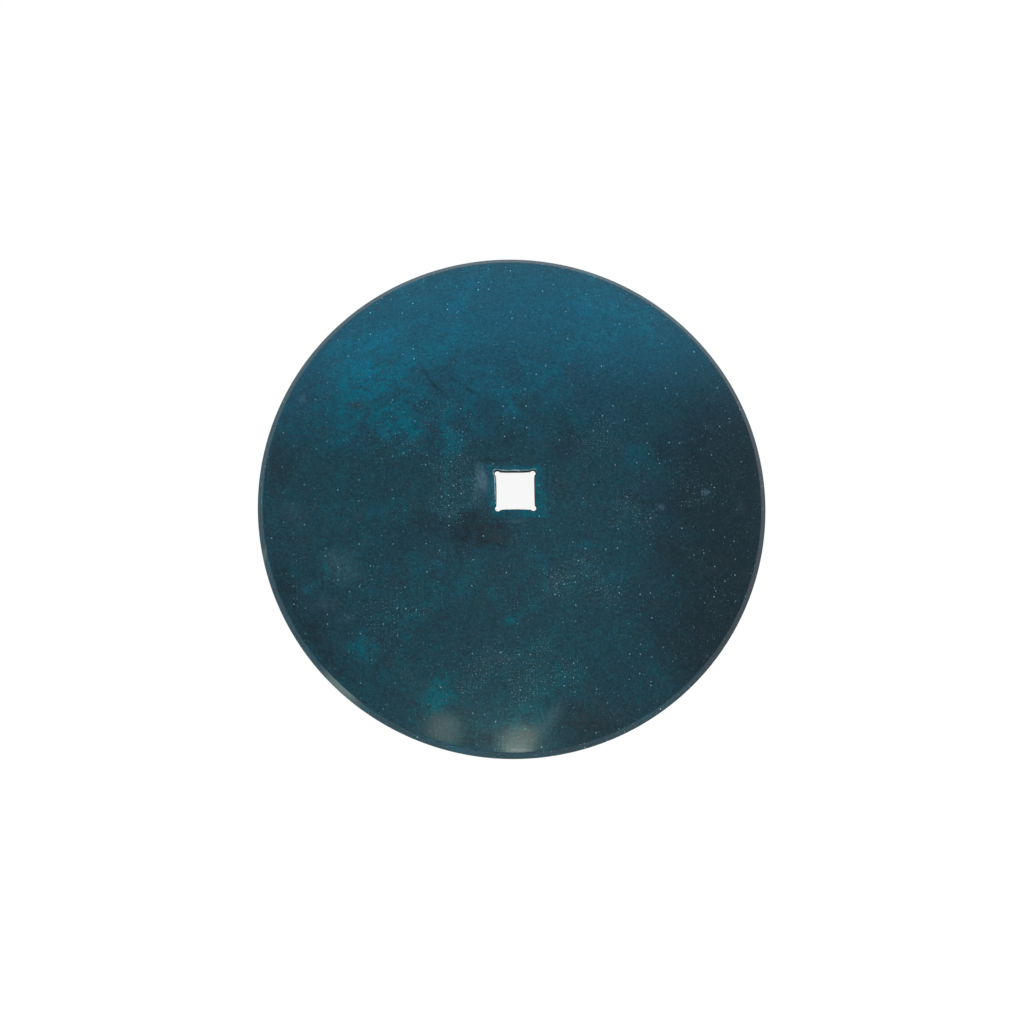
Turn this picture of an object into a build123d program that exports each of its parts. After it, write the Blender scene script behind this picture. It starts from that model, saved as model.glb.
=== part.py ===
from build123d import *

import os
from math import acos, asin, atan, cos, degrees, sin, sqrt

# Smooth harrow disc: one steel plate, pressed to a dish, ground to a bevelled edge
# and punched with a square hole for the gang shaft. Sizes are in millimetres.
# The blade lies dome-up on its cutting edge: the origin is the centre of the plane
# that it rests on, and +Z is its axis, from the open dish towards the dome.

# Blade
blade_diameter = 560.0
dish_radius = 560.0  # radius of the hollow face, the one that turns the soil
plate_thickness = 6.0

# Cutting edge
bevel_width = 10.0  # along the ground slope, on the dome side
land_width = 2.0  # blunt edge that the grinding leaves, square to the dish
edge_break = 0.4  # small flat on both corners of the land
ridge_rounding = 4.0  # between the bevel and the dome

# Square hole for the gang shaft, punched from the hollow side
shaft_square = 40.0  # across the flats of the shaft
shaft_clearance = 0.5  # between a flat of the shaft and a flat of the hole
relief_radius = 3.0  # round pocket in each corner, which keeps cracks from starting
relief_reach = 1.4  # how far a pocket goes past the flats
relief_blend = 1.2  # between a flat and a pocket

# What the punch and its die leave round the hole
die_seat_reach = 36.0  # round patch of the dome that the die presses flat
draw_in_width = 9.0  # band of the dish, past the pockets, that the punch drags up
draw_in_depth = 0.6  # at the middle of a flat
rollover = 0.8  # steep slope at the hole's lower edge
sheared_depth = 2.4  # straight part of the wall, above the rollover
break_out_spread = 0.6  # how much further out the torn upper part ends on each side

# Worked out from the sizes above
back_radius = dish_radius + plate_thickness
land_radius = dish_radius + land_width
# the blade is widest where the land ends below its broken upper corner
rim_angle = asin(blade_diameter / 2 / (land_radius - edge_break))
ridge_angle = rim_angle - acos(
    (land_radius**2 + back_radius**2 - bevel_width**2) / (2 * land_radius * back_radius)
)
# and lowest where the dish ends above its broken corner
lowest_angle = rim_angle - edge_break / dish_radius
sphere_centre = -dish_radius * cos(lowest_angle)
hole_square = shaft_square + 2 * shaft_clearance
hole_reach = hole_square / 2 + relief_reach
pocket_centre = hole_reach - relief_radius


def section_point(radius, angle):
    """Where the blade's section is at this radius and this angle from its axis."""
    return (radius * sin(angle), sphere_centre + radius * cos(angle))


def face_height(radius, reach):
    """Height of the domed or the hollow face at this distance from the axis."""
    return sphere_centre + sqrt(radius**2 - reach**2)


# the flat that the die presses, and the middle of the hole's lower edge, dragged up from the dish
seat_height = face_height(back_radius, die_seat_reach)
hole_edge_height = face_height(dish_radius, hole_square / 2) + draw_in_depth


def dished_plate():
    """The pressed and ground plate, before the hole: its section turned about the axis."""
    ridge = section_point(back_radius, ridge_angle)
    land_top = section_point(land_radius, rim_angle)
    land_foot = section_point(dish_radius, rim_angle)
    centre = (0, sphere_centre)
    with BuildPart() as plate:
        with BuildSketch(Plane.XZ) as section:
            with BuildLine():
                CenterArc(centre, back_radius, 90 - degrees(ridge_angle), degrees(ridge_angle))
                Polyline(ridge, land_top, land_foot)
                CenterArc(centre, dish_radius, 90 - degrees(rim_angle), degrees(rim_angle))
                Line(section_point(dish_radius, 0), section_point(back_radius, 0))
            make_face()
            fillet(section.vertices().sort_by_distance(ridge)[0], ridge_rounding)
            for corner in (land_top, land_foot):
                chamfer(section.vertices().sort_by_distance(corner)[0], edge_break)
        revolve(axis=Axis.Z)
    return plate.part


def hole_outline():
    """The punched outline: four flats that run into a round pocket at each corner."""
    with BuildSketch() as outline:
        Rectangle(hole_square, hole_square)
        with GridLocations(2 * pocket_centre, 2 * pocket_centre, 2, 2):
            Circle(relief_radius)
        fillet(outline.vertices(), relief_blend)
    return outline.sketch


def die_seat_tool():
    """What the die flattens: all of the dome above the plane of its face."""
    face = Circle(die_seat_reach + plate_thickness)
    return extrude(Pos(0, 0, seat_height) * face, amount=plate_thickness)


def draw_in_tool():
    """What the punch drags up: a shallow cone from the dish into the hole."""
    mouth = pocket_centre * sqrt(2) + relief_radius + draw_in_width
    mouth_height = face_height(dish_radius, mouth)
    slope = (hole_edge_height - mouth_height) / (mouth - hole_square / 2)
    with BuildPart() as cone:
        with BuildSketch(Plane.XZ):
            with BuildLine():
                Polyline(
                    (0, mouth_height + slope * mouth),
                    (mouth, mouth_height),
                    (mouth, mouth_height - plate_thickness),
                    (0, mouth_height - plate_thickness),
                    close=True,
                )
            make_face()
        revolve(axis=Axis.Z)
    return cone.part


def punched(blade):
    """The blade with its square hole: rolled over where the punch goes in, torn where it ends."""
    outline = hole_outline()
    dragged = blade - die_seat_tool() - draw_in_tool()
    sheared = dragged - extrude(outline, amount=face_height(back_radius, 0))
    lower_edges = sheared.edges().filter_by_position(
        Axis.Z, face_height(dish_radius, hole_square), hole_edge_height + rollover
    )
    for across in (Axis.X, Axis.Y):
        lower_edges = lower_edges.filter_by_position(across, -hole_reach, hole_reach)
    rolled = chamfer(lower_edges, rollover)

    torn_from = hole_edge_height + rollover + sheared_depth
    torn_depth = seat_height - torn_from
    torn_angle = degrees(atan(break_out_spread / torn_depth))
    past_face = torn_depth / 4
    torn = extrude(Pos(0, 0, torn_from) * outline, amount=torn_depth + past_face, taper=-torn_angle)
    return rolled - torn


os.makedirs("parts", exist_ok=True)
disc_blade = punched(dished_plate())
disc_blade.label = "disc_blade"
export_step(disc_blade, "parts/disc_blade.step")
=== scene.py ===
from math import acos, asin, atan2, cos, pi, radians, sin, sqrt

import bpy
import numpy as np
from mathutils import Matrix, Vector


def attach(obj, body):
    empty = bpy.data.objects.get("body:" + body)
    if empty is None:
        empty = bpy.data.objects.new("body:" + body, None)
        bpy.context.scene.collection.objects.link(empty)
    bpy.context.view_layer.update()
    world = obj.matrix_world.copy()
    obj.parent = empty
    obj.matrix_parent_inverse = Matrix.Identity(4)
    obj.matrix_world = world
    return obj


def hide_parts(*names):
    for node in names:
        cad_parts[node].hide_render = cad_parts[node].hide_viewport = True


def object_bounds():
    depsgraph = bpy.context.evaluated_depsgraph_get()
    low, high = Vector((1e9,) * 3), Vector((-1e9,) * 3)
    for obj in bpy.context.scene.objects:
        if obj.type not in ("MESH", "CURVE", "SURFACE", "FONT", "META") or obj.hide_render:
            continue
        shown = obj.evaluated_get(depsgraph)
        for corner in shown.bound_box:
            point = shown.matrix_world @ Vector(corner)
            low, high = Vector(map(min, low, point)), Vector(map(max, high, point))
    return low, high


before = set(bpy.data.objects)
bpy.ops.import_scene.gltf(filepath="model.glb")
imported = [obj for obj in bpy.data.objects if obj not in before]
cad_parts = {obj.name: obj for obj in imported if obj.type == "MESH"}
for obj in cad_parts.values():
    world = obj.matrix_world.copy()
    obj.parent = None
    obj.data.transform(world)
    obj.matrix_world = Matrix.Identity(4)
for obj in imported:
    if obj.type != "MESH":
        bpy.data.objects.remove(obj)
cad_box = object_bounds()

# Smooth harrow disc, dome up on its cutting edge. Lengths are in millimetres and are
# turned into metres where a mesh, a lamp or the camera is made.
MM = 0.001

# Blade, as in the frame
blade_radius = (cad_box[1].x - cad_box[0].x) / 2 / MM
seat_height = cad_box[1].z / MM  # the flat that the die presses on the crown
dish_radius = 560.0  # radius of the hollow face
plate_thickness = 6.0
bevel_width = 10.0
land_width = 2.0
edge_break = 0.4
land_rounding = 0.5
ridge_rounding = 4.0

# Square hole, punched from the hollow side
hole_half = 20.5  # from the axis to a flat
relief_radius = 3.0  # round pocket in each corner
relief_reach = 1.4  # how far a pocket goes past the flats
relief_blend = 1.2  # between a flat and a pocket
flat_bow = {"right": 0.25, "back": 0.45, "left": 0.30, "front": 0.40}  # proud middle of a flat
die_seat_reach = 36.0
die_seat_sag = 0.12  # the pressed flat is lowest at the hole
draw_in_width = 9.0
draw_in_depth = 0.6
rollover = 0.8  # rounding of the lower edge, where the punch goes in
sheared_depth = 2.4  # straight, scored part of the wall
tear_wander = 0.45  # how far the line between the sheared and the torn part strays
torn_spread = {"right": 0.7, "back": 1.30, "left": 0.8, "front": 0.6}  # at the upper edge
torn_ragged = 0.14
burr_height = {"right": 0.03, "back": 0.07, "left": 0.07, "front": 0.02}
burr_width = 0.35

# Mesh
turns = 560  # points round the blade
morph_radius = 64.0  # from here outwards the rings are round
morph_rings = 18
ring_step = 5.0

# Pressing leaves the plate slightly uneven
wave_count = 26
wave_lengths = (55.0, 150.0)
wave_height = 0.055
wave_fade = 26.0  # no waves this near the rim or the hole

# Faint arcs that the pressing tool leaves: radius, where it is and how far it
# reaches each way in degrees, depth
press_arcs = (
    (205.0, 6.0, 26.0, 0.05),
    (216.0, 2.0, 34.0, 0.06),
    (233.0, -8.0, 24.0, 0.04),
    (188.0, 28.0, 18.0, 0.03),
    (222.0, 196.0, 22.0, 0.03),
)
press_arc_width = 2.6

# Camera, fitted to the outline and the hole
camera_lens = 75.0
camera_sensor = 36.0
camera_target = Vector((-2.32, -15.08, 35.0))
camera_distance = 2316.2
camera_azimuth = radians(-12.438)
camera_elevation = radians(79.365)
camera_roll = radians(11.628)

# Worked out from the sizes above
back_radius = dish_radius + plate_thickness
land_radius = dish_radius + land_width
rim_angle = asin(blade_radius / (land_radius - edge_break))
lowest_angle = rim_angle - edge_break / dish_radius
sphere_centre = -dish_radius * cos(lowest_angle)
ridge_angle = rim_angle - acos(
    (land_radius**2 + back_radius**2 - bevel_width**2) / (2 * land_radius * back_radius)
)
pocket_centre = hole_half + relief_reach - relief_radius


def sphere_height(radius, reach):
    """Height of one of the blade's two spherical faces at this distance from the axis."""
    return sphere_centre + np.sqrt(radius**2 - reach**2)


def section_point(radius, angle):
    return np.array([radius * sin(angle), sphere_centre + radius * cos(angle)])


def smooth(x):
    """0 below 0, 1 above 1, and a soft step between."""
    x = np.clip(x, 0.0, 1.0)
    return x * x * (3 - 2 * x)


def soft_lower(first, second, soft):
    """The lower of the two, rounded where they cross."""
    return 0.5 * (first + second - np.sqrt((first - second) ** 2 + soft**2))


# Outline of the hole


def arc(centre, radius, start, end, count):
    angles = np.radians(np.linspace(start, end, count))
    return np.c_[centre[0] + radius * np.cos(angles), centre[1] + radius * np.sin(angles)]


def quarter_turn(points, count):
    angle = count * pi / 2
    return points @ np.array([[cos(angle), sin(angle)], [-sin(angle), cos(angle)]])


def hole_outline():
    """The hole's outline as evenly spaced points: bowed flats and a pocket at each corner."""
    blend_y = hole_half + relief_blend
    reach = relief_radius + relief_blend
    blend_x = pocket_centre - sqrt(reach**2 - (blend_y - pocket_centre) ** 2)
    meet = np.degrees(atan2(pocket_centre - blend_y, pocket_centre - blend_x))
    flat_x = np.linspace(0, blend_x, 60, endpoint=False)
    flat = np.c_[flat_x, np.full_like(flat_x, hole_half)]
    blend = arc((blend_x, blend_y), relief_blend, -90, meet, 24)
    ear = arc((pocket_centre, pocket_centre), relief_radius, 180 + meet, 45, 60)
    half_side = np.vstack([flat, blend, ear[1:]])
    corner = np.vstack([half_side, half_side[::-1, ::-1][1:]])[::-1]
    quarters = [quarter_turn(corner[:-1], count) for count in range(4)]
    loop = np.vstack(quarters + [corner[:1]])
    length = np.r_[0, np.cumsum(np.hypot(*np.diff(loop, axis=0).T))]
    steps = np.linspace(0, length[-1], turns, endpoint=False)
    points = np.c_[np.interp(steps, length, loop[:, 0]), np.interp(steps, length, loop[:, 1])]
    for side, count in (("right", 0), ("back", 1), ("left", 2), ("front", 3)):
        turned = quarter_turn(points, -count)
        bow = flat_bow[side] * np.clip(1 - (turned[:, 1] / blend_x) ** 4, 0, 1)
        turned[:, 0] -= bow * (turned[:, 0] > hole_half / 2)
        points = quarter_turn(turned, count)
    return points


hole = hole_outline()
hole_tangent = np.roll(hole, -1, axis=0) - np.roll(hole, 1, axis=0)
hole_normal = np.c_[hole_tangent[:, 1], -hole_tangent[:, 0]] / np.hypot(*hole_tangent.T)[:, None]
round_angle = 2 * pi * np.arange(turns) / turns
round_way = np.c_[np.cos(round_angle), np.sin(round_angle)]


def by_side(values):
    """A value at each point round the hole, blended between its four sides."""
    total = np.zeros(turns)
    weights = np.zeros(turns)
    for side, centre in (("right", 0.0), ("back", pi / 2), ("left", pi), ("front", -pi / 2)):
        weight = np.exp(4 * np.cos(round_angle - centre))
        total += weight * values[side]
        weights += weight
    return total / weights


def ragged(rng, width):
    """A random value at each point round the hole, smoothed over this many points."""
    kernel = np.hanning(width + 2)[1:-1]
    values = rng.normal(0, 1, turns)
    padded = np.r_[values[-width:], values, values[:width]]
    smoothed = np.convolve(padded, kernel, "same")[width:-width]
    return smoothed / np.sqrt((kernel**2).sum())


tear_rng = np.random.default_rng(5)
torn_reach = by_side(torn_spread) + torn_ragged * (0.6 * ragged(tear_rng, 15) + 0.4 * ragged(tear_rng, 5))
upper_edge = hole + hole_normal * torn_reach[:, None]
lower_edge = hole + hole_normal * rollover


# Heights of the two faces


def waves(seed, wave_lengths=wave_lengths):
    """Slight unevenness of a pressed face: a sum of long waves with random directions."""
    rng = np.random.default_rng(seed)
    lengths = rng.uniform(*wave_lengths, wave_count)
    angles = rng.uniform(0, 2 * pi, wave_count)
    phases = rng.uniform(0, 2 * pi, wave_count)
    heights = rng.normal(0, wave_height, wave_count) * lengths / wave_lengths[1]

    def height(points):
        x, y = points.T
        total = np.zeros_like(x)
        for length, angle, phase, size in zip(lengths, angles, phases, heights):
            total += size * np.sin(2 * pi * (x * cos(angle) + y * sin(angle)) / length + phase)
        reach = np.hypot(x, y)
        total *= smooth((blade_radius - 12 - reach) / wave_fade)
        return total * smooth((reach - die_seat_reach) / wave_fade)

    return height


def press_marks(points):
    """Depth of the faint arcs that the pressing tool leaves on the dome."""
    reach = np.hypot(*points.T)
    angle = np.arctan2(points[:, 1], points[:, 0])
    total = np.zeros(len(points))
    for radius, centre, spread, depth in press_arcs:
        away = np.abs((angle - radians(centre) + pi) % (2 * pi) - pi)
        fade = smooth(1.4 - away / radians(spread))
        total += depth * fade * np.exp(-(((reach - radius) / press_arc_width) ** 2))
    return total


def dome_height(points):
    """The dome, pressed flat by the die round the hole."""
    reach = np.hypot(*points.T)
    seat = seat_height - 0.02 - die_seat_sag * (1 - (reach / die_seat_reach) ** 2)
    near = soft_lower(sphere_height(back_radius, reach), seat, 0.08)
    return np.where(reach < morph_radius, near, sphere_height(back_radius, reach)) - press_marks(points)


def dish_height(points):
    """The hollow face, dragged up towards the hole by the punch."""
    reach = np.hypot(*points.T)
    mouth = pocket_centre * sqrt(2) + relief_radius + draw_in_width
    mouth_height = sphere_height(dish_radius, mouth)
    edge_height = sphere_height(dish_radius, hole_half) + draw_in_depth
    slope = (edge_height - mouth_height) / (mouth - hole_half)
    cone = mouth_height + slope * (mouth - reach)
    sphere = sphere_height(dish_radius, reach)
    near = -soft_lower(-sphere, -cone, 0.1)
    return np.where(reach < morph_radius, near, sphere)


# Marks on the dome: x, y, half width, half height, turn in degrees, strength
teal_stains = (
    (-150, 130, 78, 96, 15, 0.75),
    (-141, 134, 36, 24, 20, 0.3),
    (-131, 86, 40, 30, -10, 0.5),
    (-185, 80, 20, 46, 0, 0.45),
    (-110, 62, 14, 34, 0, 0.5),
    (-90, 150, 40, 30, 0, 0.3),
    (-40, 110, 60, 30, 0, 0.25),
    (-4, 92, 18, 14, 0, 0.7),
    (-70, 48, 18, 36, 0, 0.95),
    (-58, 80, 34, 24, 0, 0.35),
    (-175, -80, 60, 50, 0, 0.3),
    (76, -55, 17, 10, 0, 0.65),
    (-1, -130, 30, 16, 0, 0.7),
    (-23, -113, 16, 10, 0, 0.4),
    (-165, -160, 14, 30, 8, 0.85),
    (-83, -215, 34, 24, 0, 0.85),
    (-123, -145, 20, 10, 0, 0.55),
    (-213, -87, 8, 24, 0, 0.55),
    (30, 133, 24, 14, 0, 0.4),
    (129, 46, 22, 12, 0, 0.35),
    (77, -14, 10, 12, 0, 0.35),
    (-60, -100, 60, 30, 20, 0.25),
    (-110, -190, 60, 40, -20, 0.3),
)
# Painted shade: the right side and the front of the dome are darkened, standing in for dark surroundings
# reflected there
wide_shade = (
    (300, -50, 205, 340, 0, 1.0),
    (90, -330, 160, 125, 0, 0.6),
)
# Dark stains, partly painted shade: the streaks on the right side and the patch below and left of the hole
# stand in for dark reflections
dark_stains_and_shade = (
    (159, 48, 14, 44, 0, 0.5),
    (195, 20, 6, 60, -4, 0.55),
    (189, -156, 60, 60, 0, 0.35),
    (-38, -42, 50, 26, 0, 0.95),
    (-95, -38, 46, 24, 0, 0.6),
    (-255, 41, 22, 46, 0, 0.65),
    (-246, -92, 22, 44, 14, 0.7),
    (-222, -140, 20, 40, 32, 0.7),
    (-193, -178, 18, 40, 44, 0.6),
    (-40, -257, 30, 15, 4, 0.8),
    (71, -238, 40, 22, -12, 0.6),
    (-5, 52, 24, 12, 0, 0.6),
    (127, -9, 34, 9, 0, 0.5),
    (-20, 34, 26, 8, 0, 0.5),
    (60, 55, 40, 30, 0, 0.5),
)
# Pale hazes, partly painted highlight: the three nearest the hole stand in for a reflection of light left of it
pale_hazes_and_highlights = (
    (-189, -76, 44, 22, 24, 0.42),
    (-189, -124, 22, 18, 0, 0.32),
    (-37, 4, 17, 14, 0, 0.35),
    (-44, -10, 14, 14, 0, 0.35),
    (-56, -20, 10, 8, 0, 0.3),
    (46, -96, 44, 12, 35, 0.10),
    (-22, -178, 40, 12, 30, 0.10),
    (-174, -22, 36, 18, 0, 0.14),
    (245, -10, 12, 18, 0, 0.2),
    (-240, -17, 28, 32, 0, 0.22),
)
brown_tints = (
    (-166, 101, 18, 12, 30, 1.2),
    (-110, -196, 30, 16, 0, 0.5),
    (-28, -44, 14, 10, 0, 0.7),
    (50, 2, 14, 16, 0, 0.5),
    (-85, 75, 24, 14, 0, 0.4),
    (90, -240, 60, 30, 0, 0.4),
)
speck_drifts = (
    (-62, 15, 36, 66, 0, 1.5),
    (-78, 92, 40, 34, 0, 0.8),
    (70, -98, 70, 40, 0, 1.1),
    (0, -188, 95, 42, 0, 1.2),
    (90, 56, 40, 36, 0, 0.9),
    (125, -24, 42, 36, 0, 0.9),
    (200, 8, 22, 32, 0, 0.8),
    (-150, -130, 60, 40, 0, 0.5),
    (-130, 60, 60, 50, 0, 0.4),
)


def oval_sum(points, table, inner=0.1):
    """Sum of soft ovals at these points."""
    total = np.zeros(len(points))
    for x, y, half_x, half_y, turn, strength in table:
        across = points - (x, y)
        angle = radians(turn)
        along = (across @ (cos(angle), sin(angle))) / half_x
        aside = (across @ (-sin(angle), cos(angle))) / half_y
        total += strength * smooth((1 - np.hypot(along, aside)) / (1 - inner))
    return total


def mark_values(points):
    """How strongly each kind of mark, painted shade and painted highlight shows at these points, with wandering
    outlines.
    """
    push = [waves(seed, wave_lengths=(24.0, 70.0)) for seed in (31, 37)]
    astray = points + 55 * np.c_[push[0](points), push[1](points)]
    return {
        "teal_share": oval_sum(astray, teal_stains),
        "dark_share": oval_sum(astray, dark_stains_and_shade),
        "shade_share": oval_sum(astray, wide_shade, inner=0.4),
        "haze_and_highlight_share": oval_sum(astray, pale_hazes_and_highlights, inner=0.0),
        "brown_share": oval_sum(astray, brown_tints),
        "drift_share": oval_sum(astray, speck_drifts),
    }


# Rings of the blade, from the hole over the dome, round the rim and back under the dish


def ring_between(edge, step):
    """Points of the ring this far from an edge of the hole, between that edge and a circle."""
    return (1 - step) * edge + step * morph_radius * round_way


morph_steps = np.linspace(0, 1, morph_rings + 1) ** 2


def raised(points, height):
    return np.c_[points, height]


def dome_rings():
    """The domed face, from the torn edge of the hole to where the ridge starts to round off."""
    lift = waves(11)
    burr = by_side(burr_height) * (1 + 0.5 * ragged(tear_rng, 9))
    rings = []
    for step in morph_steps:
        points = ring_between(upper_edge, step)
        from_edge = step * (morph_radius - hole_half)
        height = dome_height(points) + lift(points) + burr * np.exp(-((from_edge / burr_width) ** 2))
        rings.append(raised(points, np.minimum(height, seat_height)))
    end = back_radius * sin(ridge_angle - ridge_tangent / back_radius)
    for reach in np.linspace(morph_radius, end, round((end - morph_radius) / ring_step))[1:]:
        points = reach * round_way
        rings.append(raised(points, dome_height(points) + lift(points)))
    return rings


def bezier(start, corner, end, count):
    """Rounding of a corner, without its two ends."""
    t = np.linspace(0, 1, count + 2)[1:-1, None]
    return (1 - t) ** 2 * start + 2 * t * (1 - t) * corner + t**2 * end


def towards(start, end, length):
    return start + (end - start) * length / np.hypot(*(end - start))


ridge = section_point(back_radius, ridge_angle)
land_top = section_point(land_radius, rim_angle)
land_foot = section_point(dish_radius, rim_angle)
bevel_turn = acos(
    np.dot(land_top - ridge, [cos(ridge_angle), -sin(ridge_angle)]) / np.hypot(*(land_top - ridge))
)
ridge_tangent = ridge_rounding * np.tan(bevel_turn / 2)


def rim_section():
    """Stretches of (reach, height) points round the rim, each with the material it starts."""
    before_ridge = section_point(back_radius, ridge_angle - ridge_tangent / back_radius)
    after_ridge = towards(ridge, land_top, ridge_tangent)
    bevel_end = towards(land_top, ridge, land_rounding)
    land_start = towards(land_top, land_foot, land_rounding)
    land_end = towards(land_foot, land_top, land_rounding)
    dish_start = section_point(dish_radius, rim_angle - land_rounding / dish_radius)
    along = np.linspace(0, 1, 8)[:, None]
    return [
        ("bevel", bezier(before_ridge, ridge, after_ridge, 5)),
        ("bevel", after_ridge + along[:-1] * (bevel_end - after_ridge)),
        ("land", bevel_end[None]),
        ("land", bezier(bevel_end, land_top, land_start, 3)),
        ("land", np.array([land_start, (land_start + land_end) / 2, land_end])),
        ("land", bezier(land_end, land_foot, dish_start, 3)),
        ("dish", dish_start[None]),
    ]


def turned(reach, height):
    """Ring of a point of the section, kept within the width and foot of the frame."""
    return raised(min(reach, blade_radius) * round_way, np.full(turns, max(height, 0.0)))


def dish_rings():
    """The hollow face, from the rim to the lower edge of the hole."""
    lift = waves(23)
    start = dish_radius * sin(rim_angle - land_rounding / dish_radius)
    rings = []
    for reach in np.linspace(start, morph_radius, round((start - morph_radius) / ring_step))[1:]:
        points = reach * round_way
        rings.append(raised(points, dish_height(points) + lift(points)))
    for step in morph_steps[-2::-1]:
        points = ring_between(lower_edge, step)
        rings.append(raised(points, dish_height(points) + lift(points)))
    return rings


def wall_rings(top, foot):
    """The wall of the hole, upwards: rolled over, sheared straight with scores, then torn."""
    rings = []
    for turn in np.linspace(0, pi / 2, 6)[1:]:
        points = hole + hole_normal * rollover * (1 - sin(turn))
        rings.append(raised(points, foot + rollover * (1 - cos(turn))))
    scores = 0.025 * ragged(tear_rng, 3)
    tear = foot + rollover + sheared_depth + tear_wander * ragged(tear_rng, 31)
    sheared_foot = foot + rollover
    for share in (0.15, 0.5, 0.85, 1.0):
        points = hole + hole_normal * scores[:, None]
        rings.append(raised(points, sheared_foot * (1 - share) + tear * share))
    rows = 7
    for share in np.linspace(0, 1, rows + 1)[1:-1]:
        grain = 0.13 * ragged(tear_rng, 4) * sin(pi * share)
        reach = torn_reach * share**0.8 + grain
        points = hole + hole_normal * reach[:, None]
        rings.append(raised(points, tear * (1 - share) + top * share))
    return rings


# Mesh

material_order = ["dome", "bevel", "land", "dish", "wall"]


def build_rings():
    """All rings in order, and the material of the band that starts at each."""
    dome = dome_rings()
    rings = list(dome)
    kinds = ["dome"] * len(dome)
    for kind, points in rim_section():
        rings += [turned(*point) for point in points]
        kinds += [kind] * len(points)
    dish = dish_rings()
    rings += dish
    kinds += ["dish"] * (len(dish) - 1) + ["wall"]
    wall = wall_rings(dome[0][:, 2], dish[-1][:, 2])
    rings += wall
    kinds += ["wall"] * len(wall)
    return np.array(rings), kinds


def map_places(rings, kinds):
    """Places on the texture map: the dome with the rim and the wall is one round island, the dish another."""
    dish_from = kinds.index("dish")
    wall_from = kinds.index("wall")
    closed = np.concatenate([rings, rings[:1]])
    steps = np.linalg.norm(np.diff(closed, axis=0), axis=2).mean(axis=1)
    outer_length = steps[morph_rings:dish_from].sum() + morph_radius
    scale = 0.29 / outer_length
    places = []
    for row in range(dish_from + 1):
        if row <= morph_rings:
            flat = ring_between(upper_edge, morph_steps[row])
        else:
            flat = (morph_radius + steps[morph_rings:row].sum()) * round_way
        places.append(0.3 + scale * flat)
    inner = []
    circle_row = wall_from - morph_rings
    for row in range(dish_from, wall_from + 1):
        if row < circle_row:
            flat = (morph_radius + steps[row:circle_row].sum()) * round_way
        else:
            flat = ring_between(lower_edge, morph_steps[wall_from - row])
        inner.append(0.7 + scale * flat)
    wall = []
    for row in range(wall_from, len(closed)):
        down = steps[row:].sum()
        wall.append(0.3 + scale * upper_edge * (1 - down / hole_half))
    return places, inner, wall


def make_blade():
    rings, kinds = build_rings()
    count = len(rings)
    outer, inner, wall = map_places(rings, kinds)
    dish_from = kinds.index("dish")
    wall_from = kinds.index("wall")
    faces = []
    slots = []
    places = []
    for row in range(count):
        after = (row + 1) % count
        if row < dish_from:
            here, there = outer[row], outer[row + 1]
        elif row < wall_from:
            here, there = inner[row - dish_from], inner[row - dish_from + 1]
        else:
            here, there = wall[row - wall_from], wall[row - wall_from + 1]
        for i in range(turns):
            j = (i + 1) % turns
            faces.append((row * turns + i, after * turns + i, after * turns + j, row * turns + j))
            slots.append(material_order.index(kinds[row]))
            places.extend([here[i], there[i], there[j], here[j]])
    mesh = bpy.data.meshes.new("blade")
    mesh.from_pydata((rings.reshape(-1, 3) * MM).tolist(), [], faces)
    mesh.polygons.foreach_set("material_index", slots)
    layer = mesh.uv_layers.new(name="OFBake")
    layer.data.foreach_set("uv", np.array(places).ravel())
    mesh.polygons.foreach_set("use_smooth", np.ones(len(faces), bool))
    away = np.full((count, turns), morph_radius)
    for row, step in enumerate(morph_steps):
        away[row] = np.linalg.norm(ring_between(upper_edge, step) - upper_edge, axis=1)
    values = {"from_edge": away.ravel()} | mark_values(rings[:, :, :2].reshape(-1, 2))
    for name, value in values.items():
        mesh.attributes.new(name, "FLOAT", "POINT").data.foreach_set("value", value)
    mesh.update()
    mesh.validate()
    blade = bpy.data.objects.new("blade_plate", mesh)
    bpy.context.scene.collection.objects.link(blade)
    return blade


# Materials


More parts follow.
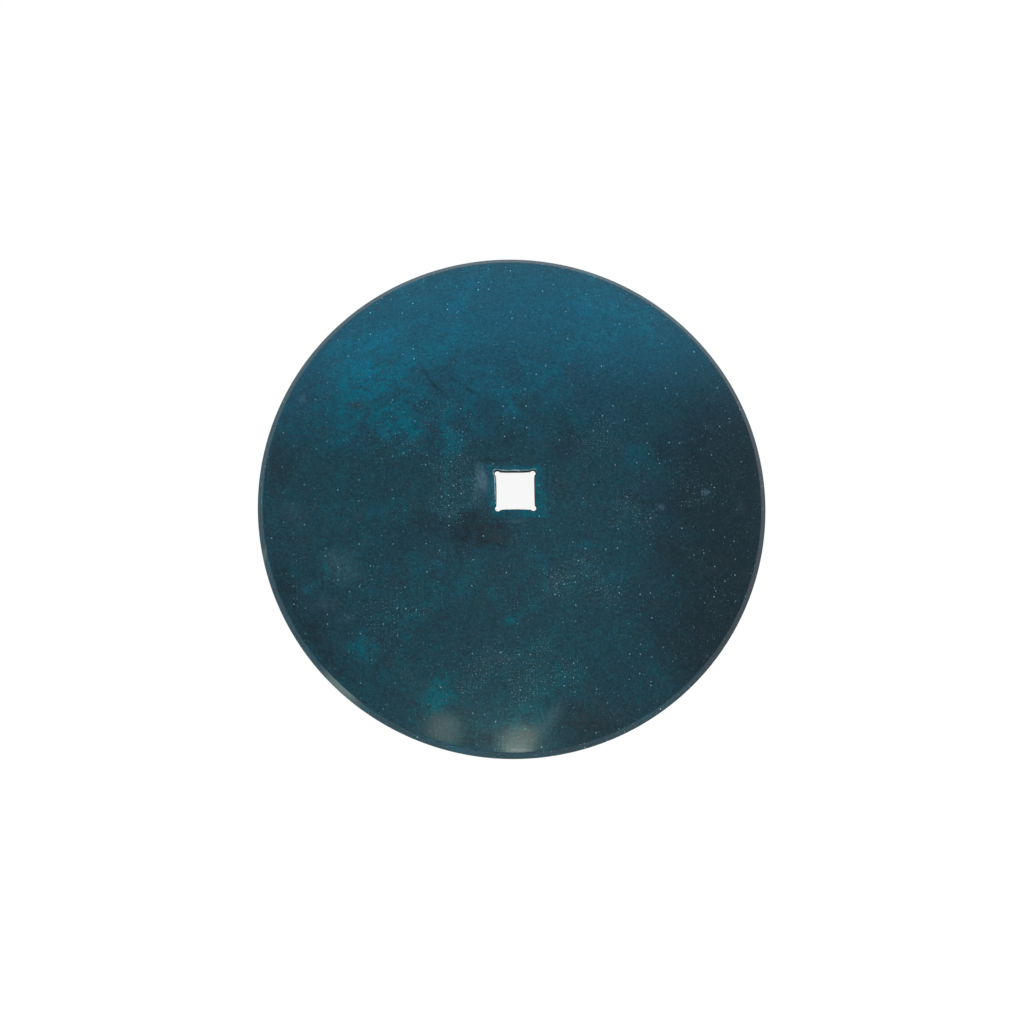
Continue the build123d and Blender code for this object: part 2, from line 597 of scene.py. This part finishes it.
class Graph:
    """A few short calls for building a material's nodes."""

    def __init__(self, material):
        material.use_nodes = True
        self.tree = material.node_tree
        self.tree.nodes.clear()

    def add(self, kind, inputs=None, **settings):
        node = self.tree.nodes.new(kind)
        for name, value in settings.items():
            setattr(node, name, value)
        for name, value in (inputs or {}).items():
            self.put(node.inputs[name], value)
        return node

    def put(self, socket, value):
        if isinstance(value, bpy.types.NodeSocket):
            self.tree.links.new(value, socket)
        else:
            socket.default_value = value

    def math(self, operation, first, second=0.0, clamp=False):
        node = self.add("ShaderNodeMath", {0: first, 1: second}, operation=operation, use_clamp=clamp)
        return node.outputs[0]

    def vector_math(self, operation, first, second, output="Vector"):
        node = self.add("ShaderNodeVectorMath", {0: first, 1: second}, operation=operation)
        return node.outputs[output]

    def ramp(self, value, low, high, start=0.0, end=1.0):
        """Soft step of value between low and high, from start to end."""
        node = self.add(
            "ShaderNodeMapRange",
            {"Value": value, "From Min": low, "From Max": high, "To Min": start, "To Max": end},
            interpolation_type="SMOOTHSTEP",
        )
        return node.outputs["Result"]

    def mix(self, share, first, second, blend="MIX"):
        node = self.add("ShaderNodeMix", data_type="RGBA", blend_type=blend)
        self.put(node.inputs[0], share)
        self.put(node.inputs[6], first)
        self.put(node.inputs[7], second)
        return node.outputs[2]

    def noise(self, place, size, detail=3.0, roughness=0.5, distortion=0.0, output=0):
        """Noise between 0 and 1 whose lumps are about this many millimetres apart."""
        node = self.add(
            "ShaderNodeTexNoise",
            {
                "Vector": place,
                "Scale": 1.0 / size,
                "Detail": detail,
                "Roughness": roughness,
                "Distortion": distortion,
            },
        )
        return node.outputs[output]

    def place(self, move=(0.0, 0.0, 0.0), stretch=(1.0, 1.0, 1.0), turn=0.0):
        """The point on the object in millimetres, moved, turned and stretched."""
        coordinates = self.add("ShaderNodeTexCoord").outputs["Object"]
        scale = [value / MM for value in stretch]
        node = self.add(
            "ShaderNodeMapping",
            {"Vector": coordinates, "Location": move, "Rotation": (0, 0, turn), "Scale": scale},
        )
        return node.outputs[0]

    def strayed(self, place, amount, size):
        """The place, pushed this way and that so that edges drawn with it wander."""
        push = self.noise(place, size, detail=3, roughness=0.6, output=1)
        push = self.vector_math("SUBTRACT", push, (0.5, 0.5, 0.5))
        push = self.vector_math("MULTIPLY", push, (amount, amount, 0))
        return self.vector_math("ADD", place, push)

    def value(self, name):
        """A value that the mesh carries at its points."""
        return self.add("ShaderNodeAttribute", attribute_name=name).outputs["Fac"]

    def spots(self, place, table, inner=0.15):
        """Sum of soft ovals, each with its centre, half sizes, turn in degrees and strength."""
        total = 0.0
        for x, y, half_x, half_y, turn, strength in table:
            mapped = self.add(
                "ShaderNodeMapping",
                {
                    "Vector": place,
                    "Location": (x, y, 0),
                    "Rotation": (0, 0, radians(turn)),
                    "Scale": (half_x, half_y, blade_radius * 100),
                },
                vector_type="TEXTURE",
            ).outputs[0]
            away = self.vector_math("LENGTH", mapped, (0, 0, 0), "Value")
            total = self.math("ADD", self.ramp(away, 1.0, inner, 0.0, strength), total)
        return total

    def specks(self, place, cell, radius, chance):
        """Small round dots, at most one in each cell, each as bright as chance has it."""
        node = self.add(
            "ShaderNodeTexVoronoi",
            {"Vector": place, "Scale": 1.0 / cell},
            voronoi_dimensions="2D",
        )
        dot = self.ramp(node.outputs["Distance"], radius / cell, 0.4 * radius / cell)
        drawn = self.add("ShaderNodeSeparateColor", {0: node.outputs["Color"]})
        picked = self.math("LESS_THAN", drawn.outputs[0], chance)
        bright = self.ramp(drawn.outputs[1], 0.0, 1.0, 0.35, 1.0)
        return self.math("MULTIPLY", self.math("MULTIPLY", dot, picked), bright)


def colour(red, green, blue):
    return (red, green, blue, 1.0)


slate = colour(0.0145, 0.0620, 0.0875)
dark_slate = colour(0.0145, 0.0300, 0.0400)
teal = colour(0.0005, 0.1180, 0.1620)
brown_slate = colour(0.0330, 0.0500, 0.0580)
# Colour of pale hazes, and of the painted highlight left of the hole
haze_and_highlight_grey = colour(0.0850, 0.1600, 0.2050)
speck_pale = colour(0.30, 0.56, 0.62)
scratch_dark = colour(0.012, 0.028, 0.040)
# Worn steel on the land's chips, and the colour of the painted highlight on the bevel
worn_steel_and_highlight = colour(0.130, 0.190, 0.185)
# Pale worn steel of the burr, used as a painted highlight
burr_highlight_pale = colour(0.34, 0.46, 0.50)
sheared_steel = colour(0.012, 0.020, 0.025)
torn_steel = colour(0.005, 0.008, 0.010)

# Small marks, listed in the same way
# The first two, left of the hole, are a painted highlight; the rest are pale hazes
small_hazes_and_highlights = (
    (-37, 17, 8, 20, 8, 0.9),
    (-35, 9, 14, 16, 0, 0.5),
    (-230, 116, 6, 8, 0, 0.6),
    (33, -242, 12, 36, -38, 0.35),
    (209, 4, 7, 6, 20, 0.8),
    (157, -16, 6, 5, 0, 0.6),
    (1, -33, 17, 4, 0, 0.35),
)
scratches = (
    (-95, 137, 16, 3.2, -66, 0.8),
    (-84, 119, 14, 3.4, -50, 0.9),
    (-64, 127, 15, 3.0, -38, 0.75),
    (-47, 114, 15, 3.4, -37, 0.75),
    (-43, 84, 22, 1.6, -48, 0.4),
)

# More teal in a square band round the hole
square_band_centre = (1.5, -1.5)
square_band_half = (31.0, 29.0)

# Stretches of the bevel with a painted highlight in worn steel colour, and the dark line beside one
bevel_highlights = (
    (-189, -201, 38, 9, -43, 1.0),
    (-273, -57, 18, 5, 78, 0.5),
)
ridge_lines = (
    (-182, -196, 30, 2.0, -43, 0.8),
)


def finish_surface(graph, base, roughness, height, depth, metallic=0.5, coat=0.25):
    """Ends a material with its shader: coloured lacquer, over steel that shows through it."""
    bump = graph.add("ShaderNodeBump", {"Strength": 1.0, "Distance": depth * MM, "Height": height})
    shader = graph.add(
        "ShaderNodeBsdfPrincipled",
        {
            "Base Color": base,
            "Metallic": metallic,
            "Roughness": roughness,
            "Normal": bump.outputs[0],
            "Coat Weight": coat,
            "Coat Roughness": 0.09,
            "Specular IOR Level": 0.2,
        },
    )
    output = graph.add("ShaderNodeOutputMaterial")
    graph.tree.links.new(shader.outputs[0], output.inputs["Surface"])


def pooled_band(graph, place):
    """1 in the square band round the hole, where the lacquer is more teal."""
    apart = graph.vector_math("SUBTRACT", place, (*square_band_centre, 0))
    apart = graph.vector_math("ABSOLUTE", apart, (0, 0, 0))
    apart = graph.vector_math("SUBTRACT", apart, (*square_band_half, 0))
    parts = graph.add("ShaderNodeSeparateXYZ", {0: apart})
    furthest = graph.math("MAXIMUM", parts.outputs[0], parts.outputs[1])
    return graph.ramp(furthest, 2.0, -4.0)


def mottled(graph, here):
    """How teal the thin lacquer is, from large clouds down to fine blotches."""
    clouds = graph.noise(here, 70, detail=3, roughness=0.5, distortion=0.4)
    blotches = graph.noise(here, 17, detail=4, roughness=0.65, distortion=0.6)
    patches = graph.noise(here, 11, detail=2, roughness=0.5, distortion=1.2)
    clouds = graph.math("MULTIPLY", graph.math("SUBTRACT", clouds, 0.5), 1.1)
    blotches = graph.math("MULTIPLY", graph.math("SUBTRACT", blotches, 0.5), 1.3)
    patches = graph.ramp(patches, 0.42, 0.58, -0.09, 0.09)
    return graph.math("ADD", graph.math("ADD", clouds, blotches), patches)


def grained(graph, here, base):
    """Fine uneven grain of a thin film on rolled steel."""
    grain = graph.noise(here, 1.3, detail=2, roughness=0.6)
    base = graph.mix(1.0, base, graph.ramp(grain, 0.25, 0.75, 0.70, 1.30), blend="MULTIPLY")
    coarse = graph.noise(here, 3.6, detail=2)
    return graph.mix(1.0, base, graph.ramp(coarse, 0.25, 0.75, 0.84, 1.16), blend="MULTIPLY")


def dome_base(graph):
    """Colour and roughness of the lacquer on the dome and the bevel, with painted shade and painted highlights
    among its marks.
    """
    here = graph.place()
    nearly = graph.strayed(here, 7, 12)
    texture = graph.noise(here, 7, detail=5, roughness=0.65)
    broken = graph.ramp(texture, 0.3, 0.7, 0.3, 1.6)

    share = graph.math("MULTIPLY", graph.value("teal_share"), broken)
    share = graph.math("ADD", share, mottled(graph, here))
    square_teal = graph.math("MULTIPLY", pooled_band(graph, graph.strayed(here, 12, 16)), broken)
    square_teal = graph.math("MULTIPLY", square_teal, 0.7)
    share = graph.math("ADD", share, square_teal, clamp=True)
    # Dark stains and the painted shade of the right side and the front darken the lacquer towards dark slate
    dark = graph.math("MULTIPLY", graph.value("dark_share"), broken)
    dark = graph.math("ADD", dark, graph.value("shade_share"), clamp=True)
    base = graph.mix(share, slate, teal)
    base = graph.mix(graph.math("MULTIPLY", dark, 0.85), base, dark_slate)
    rusty = graph.ramp(graph.noise(here, 21, detail=3, distortion=0.5), 0.5, 0.68, 0.0, 0.3)
    brown = graph.math("MULTIPLY", graph.math("ADD", graph.value("brown_share"), rusty), broken, clamp=True)
    base = graph.mix(graph.math("MULTIPLY", brown, 0.7), base, brown_slate)
    # Pale hazes, and the painted highlight left of the hole, lighten the lacquer towards grey
    haze_and_highlight = graph.math("ADD", graph.value("haze_and_highlight_share"), graph.spots(nearly, small_hazes_and_highlights))
    haze_and_highlight = graph.math("MULTIPLY", haze_and_highlight, graph.ramp(texture, 0.3, 0.7, 0.7, 1.2), clamp=True)
    base = graph.mix(graph.math("MULTIPLY", haze_and_highlight, 0.7), base, haze_and_highlight_grey)
    base = grained(graph, here, base)

    drift = graph.value("drift_share")
    shifts = graph.ramp(graph.noise(here, 38, detail=3), 0.42, 0.66)
    drift = graph.math("ADD", drift, graph.math("MULTIPLY", shifts, 0.3))
    for cell, radius, low, high, strength in (
        (2.0, 0.50, 0.05, 0.85, 0.22),
        (4.0, 0.62, 0.04, 0.60, 0.50),
        (12.0, 0.85, 0.12, 0.60, 1.00),
    ):
        chance = graph.ramp(drift, 0.0, 1.0, low, high)
        dots = graph.specks(here, cell, radius, chance)
        base = graph.mix(graph.math("MULTIPLY", dots, strength), base, speck_pale)
    scored = graph.spots(graph.strayed(here, 3, 9), scratches)
    base = graph.mix(graph.math("MULTIPLY", scored, 0.85, clamp=True), base, scratch_dark)
    roughness = graph.math("ADD", graph.ramp(texture, 0.3, 0.7, 0.29, 0.37), graph.math("MULTIPLY", haze_and_highlight, 0.12))
    return here, base, roughness


def dome_lacquer():
    """Thin dark blue-green lacquer over pressed steel: mottled, grainy, specked and lightly scuffed, with a
    painted highlight along the hole's left and far edges.
    """
    graph = Graph(bpy.data.materials.new("dome_lacquer"))
    here, base, roughness = dome_base(graph)
    edge = graph.value("from_edge")
    diagonal = graph.vector_math("DOT_PRODUCT", here, (-0.6, 0.8, 0), "Value")
    # Painted highlight: the burr is pale only along the left and far edges of the hole, where the light catches
    # it
    burr = graph.math("MULTIPLY", graph.ramp(edge, 1.9, 1.0), graph.ramp(diagonal, 0.0, 14.0))
    burr = graph.math("MULTIPLY", burr, graph.ramp(graph.noise(here, 5), 0.35, 0.6, 0.3, 1.0))
    base = graph.mix(burr, base, burr_highlight_pale)
    finish_surface(graph, base, roughness, graph.noise(here, 0.9, detail=2), 0.03)
    return graph.tree


def bevel_lacquer():
    """The same lacquer over the ground bevel, whose marks run round the blade."""
    graph = Graph(bpy.data.materials.new("bevel_lacquer"))
    here, base, roughness = dome_base(graph)
    parts = graph.add("ShaderNodeSeparateXYZ", {0: here})
    flat = graph.add("ShaderNodeCombineXYZ", {0: parts.outputs[0], 1: parts.outputs[1]}).outputs[0]
    reach = graph.vector_math("LENGTH", flat, (0, 0, 0), "Value")
    around = graph.add(
        "ShaderNodeCombineXYZ",
        {
            0: graph.math("MULTIPLY", parts.outputs[0], 0.03),
            1: graph.math("MULTIPLY", parts.outputs[1], 0.03),
            2: graph.math("MULTIPLY", reach, 1.6),
        },
    ).outputs[0]
    ground = graph.noise(around, 1.0, detail=3, roughness=0.6)
    base = graph.mix(1.0, base, graph.ramp(ground, 0.25, 0.75, 0.8, 1.2), blend="MULTIPLY")
    # Painted highlight: bright stretches of the bevel in worn steel colour
    bevel_shine = graph.math("MULTIPLY", graph.spots(here, bevel_highlights), graph.ramp(ground, 0.2, 0.6, 0.6, 1.0))
    base = graph.mix(graph.math("MINIMUM", bevel_shine, 1.0), base, worn_steel_and_highlight)
    finish_surface(graph, base, roughness, ground, 0.04, metallic=0.3, coat=0.1)
    return graph.tree


def land_steel():
    """The blunt cutting edge, where the lacquer is chipped and steel shows."""
    graph = Graph(bpy.data.materials.new("land_steel"))
    here = graph.place()
    chipped = graph.ramp(graph.noise(here, 7, detail=4, roughness=0.65), 0.46, 0.58)
    base = graph.mix(graph.math("MULTIPLY", chipped, 0.8), slate, worn_steel_and_highlight)
    base = grained(graph, here, base)
    finish_surface(graph, base, 0.42, graph.noise(here, 0.9, detail=2), 0.04)
    return graph.tree


def dish_lacquer():
    """The hollow side: the same lacquer, with runs where it drained off after dipping."""
    graph = Graph(bpy.data.materials.new("dish_lacquer"))
    here = graph.place(move=(300, 300, 0))
    wandering = graph.strayed(here, 14, 40)
    squeezed = graph.add("ShaderNodeMapping", {"Vector": wandering, "Scale": (1.0, 0.09, 1.0)}).outputs[0]
    runs = graph.ramp(graph.noise(squeezed, 16, detail=3, roughness=0.55), 0.5, 0.68)
    share = graph.math("ADD", mottled(graph, here), graph.math("MULTIPLY", runs, 0.45), clamp=True)
    base = graph.mix(share, slate, teal)
    scale_marks = graph.ramp(graph.noise(here, 26, detail=5, roughness=0.6), 0.55, 0.7)
    base = graph.mix(graph.math("MULTIPLY", scale_marks, 0.6), base, dark_slate)
    base = grained(graph, here, base)
    dots = graph.specks(here, 7.0, 0.7, 0.2)
    base = graph.mix(graph.math("MULTIPLY", dots, 0.7), base, speck_pale)
    roughness = graph.ramp(runs, 0.0, 1.0, 0.36, 0.27)
    finish_surface(graph, base, roughness, runs, 0.06)
    return graph.tree


def wall_steel():
    """The wall of the hole: dark sheared steel with upright scores below, dull torn steel above."""
    graph = Graph(bpy.data.materials.new("wall_steel"))
    here = graph.place()
    height = graph.add("ShaderNodeSeparateXYZ", {0: graph.strayed(here, 0, 3)}).outputs[2]
    uneven = graph.math("MULTIPLY", graph.noise(here, 3.0), 0.8)
    tear = seat_height - 1.4
    torn = graph.ramp(graph.math("ADD", height, uneven), tear + 0.2, tear + 0.7)
    upright = graph.place(stretch=(1.0, 1.0, 0.06))
    scores = graph.noise(upright, 0.5, detail=3)
    base = graph.mix(1.0, sheared_steel, graph.ramp(scores, 0.3, 0.7, 0.6, 1.5), blend="MULTIPLY")
    base = graph.mix(torn, base, torn_steel)
    roughness = graph.ramp(torn, 0.0, 1.0, 0.35, 0.7)
    finish_surface(graph, base, roughness, graph.noise(here, 0.6, detail=3), 0.08, metallic=0.6)
    return graph.tree


def dress(blade):
    for make in (dome_lacquer, bevel_lacquer, land_steel, dish_lacquer, wall_steel):
        make()
        blade.data.materials.append(bpy.data.materials[make.__name__])


# Stage

glow_way = Vector((0.0, 0.963, -0.269))


def background_share(graph):
    """1 for rays that should find the plain pale background."""
    path = graph.add("ShaderNodeLightPath")
    share = graph.math("MAXIMUM", path.outputs["Is Camera Ray"], path.outputs["Is Transmission Ray"])
    return path, share


def make_floor():
    mesh = bpy.data.meshes.new("floor")
    size = 60.0
    corners = [(-size, -size, 0), (size, -size, 0), (size, size, 0), (-size, size, 0)]
    mesh.from_pydata(corners, [], [(0, 1, 2, 3)])
    floor = bpy.data.objects.new("floor", mesh)
    bpy.context.scene.collection.objects.link(floor)
    material = bpy.data.materials.new("pale_floor")
    graph = Graph(material)
    path, seen = background_share(graph)
    seen = graph.math("MAXIMUM", seen, path.outputs["Is Glossy Ray"])
    matt = graph.add("ShaderNodeBsdfDiffuse", {"Color": colour(0.8, 0.8, 0.8)}).outputs[0]
    shaded = graph.add("ShaderNodeBsdfDiffuse", {"Color": colour(0.12, 0.12, 0.12)}).outputs[0]
    glow = graph.add("ShaderNodeEmission", {"Color": colour(1, 1, 1), "Strength": 0.9}).outputs[0]
    both = graph.add("ShaderNodeAddShader", {0: shaded, 1: glow}).outputs[0]
    mixed = graph.add("ShaderNodeMixShader", {0: seen, 1: matt, 2: both}).outputs[0]
    graph.add("ShaderNodeOutputMaterial", {"Surface": mixed})
    mesh.materials.append(material)


# Small warm windows, which show near the front rim: azimuth and elevation, half width
# and half height in degrees, strength and colour
warm = (1.0, 0.94, 0.66)
windows = (
    (177, 38.5, 6.5, 6.5, 10.0, warm),
    (177, 35.5, 4.6, 2.6, 16.0, (1.0, 0.99, 0.92)),
    (-161, 39.0, 6.5, 7.0, 5.0, warm),
)


def window_share(graph, way, azimuth, elevation, half_width, half_height):
    """1 in the middle of a soft oval of the surroundings, 0 outside it."""
    azimuth = radians(azimuth)
    elevation = radians(elevation)
    ahead = Vector((sin(azimuth) * cos(elevation), cos(azimuth) * cos(elevation), sin(elevation)))
    across = ahead.cross(Vector((0, 0, 1))).normalized()
    rise = across.cross(ahead)
    apart = graph.add(
        "ShaderNodeCombineXYZ",
        {
            0: graph.vector_math("DOT_PRODUCT", way, across / sin(radians(half_width)), "Value"),
            1: graph.vector_math("DOT_PRODUCT", way, rise / sin(radians(half_height)), "Value"),
        },
    ).outputs[0]
    away = graph.vector_math("LENGTH", apart, (0, 0, 0), "Value")
    in_front = graph.math("GREATER_THAN", graph.vector_math("DOT_PRODUCT", way, ahead, "Value"), 0.0)
    return graph.math("MULTIPLY", graph.ramp(away, 1.0, 0.1), in_front)


def make_world():
    """Soft studio surroundings: a pale horizon, a dim ceiling and a wide bluish window glow."""
    world = bpy.data.worlds.new("studio")
    bpy.context.scene.world = world
    graph = Graph(world)
    way = graph.add("ShaderNodeTexCoord").outputs["Generated"]
    facing = graph.vector_math("DOT_PRODUCT", way, glow_way, "Value")
    parts = graph.add("ShaderNodeSeparateXYZ", {0: way})
    glow = graph.ramp(facing, 0.30, 0.62)
    horizon = graph.ramp(parts.outputs[2], 0.34, 0.08)
    light = graph.mix(glow, colour(0.34, 0.35, 0.36), colour(0.38, 1.43, 1.93))
    light = graph.mix(horizon, light, colour(1, 1, 1))
    for azimuth, elevation, half_width, half_height, strength, tint in windows:
        pane = window_share(graph, way, azimuth, elevation, half_width, half_height)
        shine = graph.mix(pane, colour(0, 0, 0), colour(*[strength * value for value in tint]))
        light = graph.mix(1.0, light, shine, blend="ADD")
    seen = background_share(graph)[1]
    light = graph.mix(seen, light, colour(1, 1, 1))
    back = graph.add("ShaderNodeBackground", {"Color": light, "Strength": 1.0}).outputs[0]
    graph.add("ShaderNodeOutputWorld", {"Surface": back})


def make_lamp(name, place, aim, size_x, size_y, power):
    data = bpy.data.lights.new(name, "AREA")
    data.shape = "RECTANGLE"
    data.size = size_x * MM
    data.size_y = size_y * MM
    data.energy = power
    lamp = bpy.data.objects.new(name, data)
    lamp.location = Vector(place) * MM
    lamp.rotation_mode = "QUATERNION"
    lamp.rotation_quaternion = (Vector(aim) - Vector(place)).to_track_quat("-Z", "Y")
    lamp.visible_camera = False
    lamp.visible_glossy = False
    bpy.context.scene.collection.objects.link(lamp)


def make_lamps():
    make_lamp("overhead_fill", (300, -300, 3000), (0, 0, 0), 2600, 2600, 55)


def make_camera():
    data = bpy.data.cameras.new("camera")
    data.lens = camera_lens
    data.sensor_width = camera_sensor
    data.clip_start = 0.05
    data.clip_end = 200.0
    camera = bpy.data.objects.new("camera", data)
    back = Vector((
        sin(camera_azimuth) * cos(camera_elevation),
        -cos(camera_azimuth) * cos(camera_elevation),
        sin(camera_elevation),
    ))
    right = Vector((0, 0, 1)).cross(back).normalized()
    up = back.cross(right)
    rolled_right = right * cos(camera_roll) + up * sin(camera_roll)
    rolled_up = up * cos(camera_roll) - right * sin(camera_roll)
    turn = Matrix((rolled_right, rolled_up, back)).transposed().to_4x4()
    camera.matrix_world = Matrix.Translation((camera_target + back * camera_distance) * MM) @ turn
    bpy.context.scene.collection.objects.link(camera)
    bpy.context.scene.camera = camera


blade = make_blade()
dress(blade)
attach(blade, "root")
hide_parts("disc_blade")
make_floor()
make_world()
make_lamps()
make_camera()
bpy.context.scene.view_settings.view_transform = "Standard"
